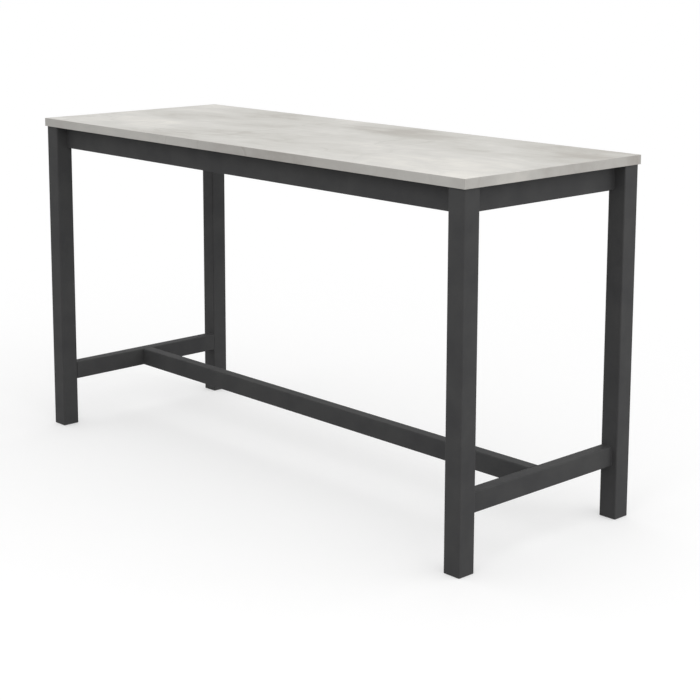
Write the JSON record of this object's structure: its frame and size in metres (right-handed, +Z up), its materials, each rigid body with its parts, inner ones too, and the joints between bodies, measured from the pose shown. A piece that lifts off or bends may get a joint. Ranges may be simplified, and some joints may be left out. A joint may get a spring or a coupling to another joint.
{
  "type": "standing meeting table",
  "caption": "Standing-height meeting table: a concrete-look laminated board top on a charcoal square-tube steel frame with a low stretcher and hidden levelling feet.",
  "frame": {"origin": "on the floor, under the middle of the table top", "axes": "+X along the table, +Y across it towards the rear, +Z up through the face of the top"},
  "size_m": [2, 0.75, 1.1],
  "materials": {
    "concrete_laminate": "matt laminate, cloudy concrete look",
    "edge_band": "matt edge band, concrete look",
    "backing_laminate": "plain matt backing sheet",
    "board_core": "raw particle board",
    "frame_steel": "charcoal powder coat, fine texture",
    "zinc_hardware": "bright zinc plate",
    "foot_plastic": "moulded nylon"
  },
  "bodies": {
    "table": {"top_core_board": "board_core", "top_face_laminate": "concrete_laminate", "top_backing_laminate": "backing_laminate", "edge_band_front": "edge_band", "edge_band_rear": "edge_band", "edge_band_left": "edge_band", "edge_band_right": "edge_band", "leg_front_left": "frame_steel", "leg_front_right": "frame_steel", "leg_rear_right": "frame_steel", "leg_rear_left": "frame_steel", "leg_cap_front_left": "frame_steel", "leg_cap_front_right": "frame_steel", "leg_cap_rear_right": "frame_steel", "leg_cap_rear_left": "frame_steel", "top_rail_front": "frame_steel", "top_rail_rear": "frame_steel", "top_rail_left": "frame_steel", "top_rail_right": "frame_steel", "centre_brace": "frame_steel", "low_rail_left": "frame_steel", "low_rail_right": "frame_steel", "stretcher": "frame_steel", "stretcher_spigot_left": "frame_steel", "stretcher_spigot_right": "frame_steel", "corner_bracket_front_left": "frame_steel", "corner_bracket_front_right": "frame_steel", "corner_bracket_rear_right": "frame_steel", "corner_bracket_rear_left": "frame_steel", "fixing_tab_left": "frame_steel", "fixing_tab_right": "frame_steel", "fixing_tab_front_left": "frame_steel", "fixing_tab_front_right": "frame_steel", "fixing_tab_rear_left": "frame_steel", "fixing_tab_rear_right": "frame_steel", "top_screws": "zinc_hardware", "brace_screws": "zinc_hardware", "bracket_bolts": "zinc_hardware", "rail_rivet_nuts": "zinc_hardware", "stretcher_screws": "zinc_hardware", "stretcher_nuts": "zinc_hardware", "top_threaded_inserts": "zinc_hardware", "foot_bush_front_left": "zinc_hardware", "foot_bush_front_right": "zinc_hardware", "foot_bush_rear_right": "zinc_hardware", "foot_bush_rear_left": "zinc_hardware", "foot_plug_front_left": "foot_plastic", "foot_plug_front_right": "foot_plastic", "foot_plug_rear_right": "foot_plastic", "foot_plug_rear_left": "foot_plastic"},
    "pad_front_left": {"foot_pad_front_left": "foot_plastic"},
    "stud_front_left": {"foot_stud_front_left": "zinc_hardware"},
    "pad_front_right": {"foot_pad_front_right": "foot_plastic"},
    "stud_front_right": {"foot_stud_front_right": "zinc_hardware"},
    "pad_rear_right": {"foot_pad_rear_right": "foot_plastic"},
    "stud_rear_right": {"foot_stud_rear_right": "zinc_hardware"},
    "pad_rear_left": {"foot_pad_rear_left": "foot_plastic"},
    "stud_rear_left": {"foot_stud_rear_left": "zinc_hardware"}
  },
  "joints": [
    {"name": "pad_extend_front_left", "type": "slide", "parent": "table", "child": "pad_front_left", "axis": [0, 0, -1], "range_m": [0, 0.009]},
    {"name": "stud_turn_front_left", "type": "hinge", "parent": "pad_front_left", "child": "stud_front_left", "pos_m": [-0.965, -0.34, 0], "axis": [0, 0, -1], "range_deg": [0, 2160]},
    {"name": "pad_extend_front_right", "type": "slide", "parent": "table", "child": "pad_front_right", "axis": [0, 0, -1], "range_m": [0, 0.009]},
    {"name": "stud_turn_front_right", "type": "hinge", "parent": "pad_front_right", "child": "stud_front_right", "pos_m": [0.965, -0.34, 0], "axis": [0, 0, -1], "range_deg": [0, 2160]},
    {"name": "pad_extend_rear_right", "type": "slide", "parent": "table", "child": "pad_rear_right", "axis": [0, 0, -1], "range_m": [0, 0.009]},
    {"name": "stud_turn_rear_right", "type": "hinge", "parent": "pad_rear_right", "child": "stud_rear_right", "pos_m": [0.965, 0.34, 0], "axis": [0, 0, -1], "range_deg": [0, 2160]},
    {"name": "pad_extend_rear_left", "type": "slide", "parent": "table", "child": "pad_rear_left", "axis": [0, 0, -1], "range_m": [0, 0.009]},
    {"name": "stud_turn_rear_left", "type": "hinge", "parent": "pad_rear_left", "child": "stud_rear_left", "pos_m": [-0.965, 0.34, 0], "axis": [0, 0, -1], "range_deg": [0, 2160]}
  ],
  "couplings": [
    {"joint": "stud_turn_front_left", "follows": "pad_extend_front_left", "rad_per_m": 4188.8},
    {"joint": "stud_turn_front_right", "follows": "pad_extend_front_right", "rad_per_m": 4188.8},
    {"joint": "stud_turn_rear_right", "follows": "pad_extend_rear_right", "rad_per_m": 4188.8},
    {"joint": "stud_turn_rear_left", "follows": "pad_extend_rear_left", "rad_per_m": 4188.8}
  ]
}
